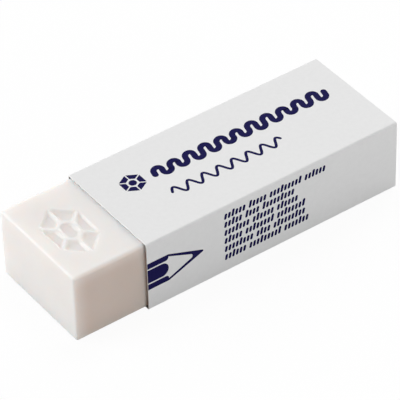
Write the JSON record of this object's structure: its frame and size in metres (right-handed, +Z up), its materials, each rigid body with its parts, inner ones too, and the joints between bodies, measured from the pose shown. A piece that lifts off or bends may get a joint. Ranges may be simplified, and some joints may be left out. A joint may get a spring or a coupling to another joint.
{
  "type": "rubber eraser",
  "caption": "Straight block eraser with a sunken emblem on its working end, in a folded card sleeve that slides along it.",
  "frame": {"origin": "on the table under the middle of the whole object", "axes": "+X along the block towards the end that the sleeve covers, +Z up"},
  "size_m": [0.065, 0.0224, 0.0139],
  "materials": {
    "vinyl_block": "matt creamy white vinyl, slightly translucent",
    "sleeve_card": "smooth coated white card",
    "print_ink": "flat navy blue printing ink"
  },
  "bodies": {
    "sleeve": {"card_sleeve": "sleeve_card"},
    "block": {"eraser_block": "vinyl_block"}
  },
  "joints": [
    {"name": "block_slide", "type": "slide", "parent": "sleeve", "child": "block", "axis": [1, 0, 0], "range_m": [-0.05125, 0.065]}
  ]
}
